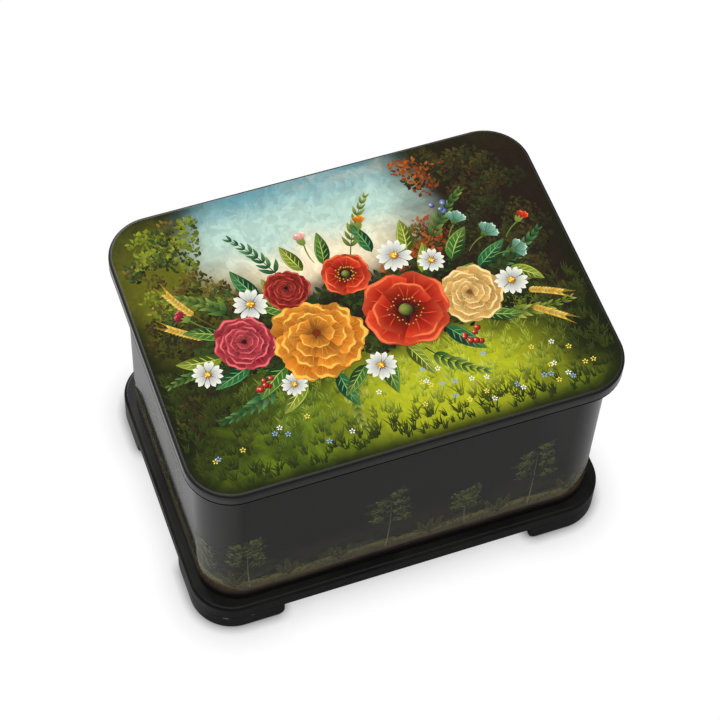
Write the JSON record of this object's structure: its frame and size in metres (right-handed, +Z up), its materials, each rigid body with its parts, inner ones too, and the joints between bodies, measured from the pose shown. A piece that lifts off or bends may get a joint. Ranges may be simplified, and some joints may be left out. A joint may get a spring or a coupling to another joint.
{
  "type": "lacquer box",
  "caption": "Low rectangular lacquered casket with rounded corners, an overhanging hinged lid, a plinth board and bracket feet.",
  "frame": {"origin": "on the ground, at the middle of the box's footprint", "axes": "+X along the long side, +Y to the hinged back, +Z up"},
  "size_m": [0.16, 0.12, 0.0975],
  "materials": {
    "black_lacquer": "polished black lacquer",
    "red_lacquer": "satin red lacquer",
    "painted_lacquer": "polished lacquer over painting",
    "hinge_brass": "drawn, slightly worn"
  },
  "bodies": {
    "base": {"plinth_board": "black_lacquer", "front_left_foot": "black_lacquer", "front_right_foot": "black_lacquer", "back_left_foot": "black_lacquer", "back_right_foot": "black_lacquer", "floor_board": "red_lacquer", "body_wall": "black_lacquer", "inner_sleeve": "red_lacquer", "hinge_body_leaf": "hinge_brass", "hinge_pin": "hinge_brass", "hinge_body_nails": "hinge_brass"},
    "lid": {"lid_board": "painted_lacquer", "lid_rim": "black_lacquer", "lid_lining": "red_lacquer", "hinge_lid_leaf": "hinge_brass", "hinge_lid_nails": "hinge_brass"}
  },
  "joints": [
    {"name": "lid_hinge", "type": "hinge", "parent": "base", "child": "lid", "pos_m": [0, 0.0509, 0.0921], "axis": [-1, 0, 0], "range_deg": [0, 91]}
  ]
}
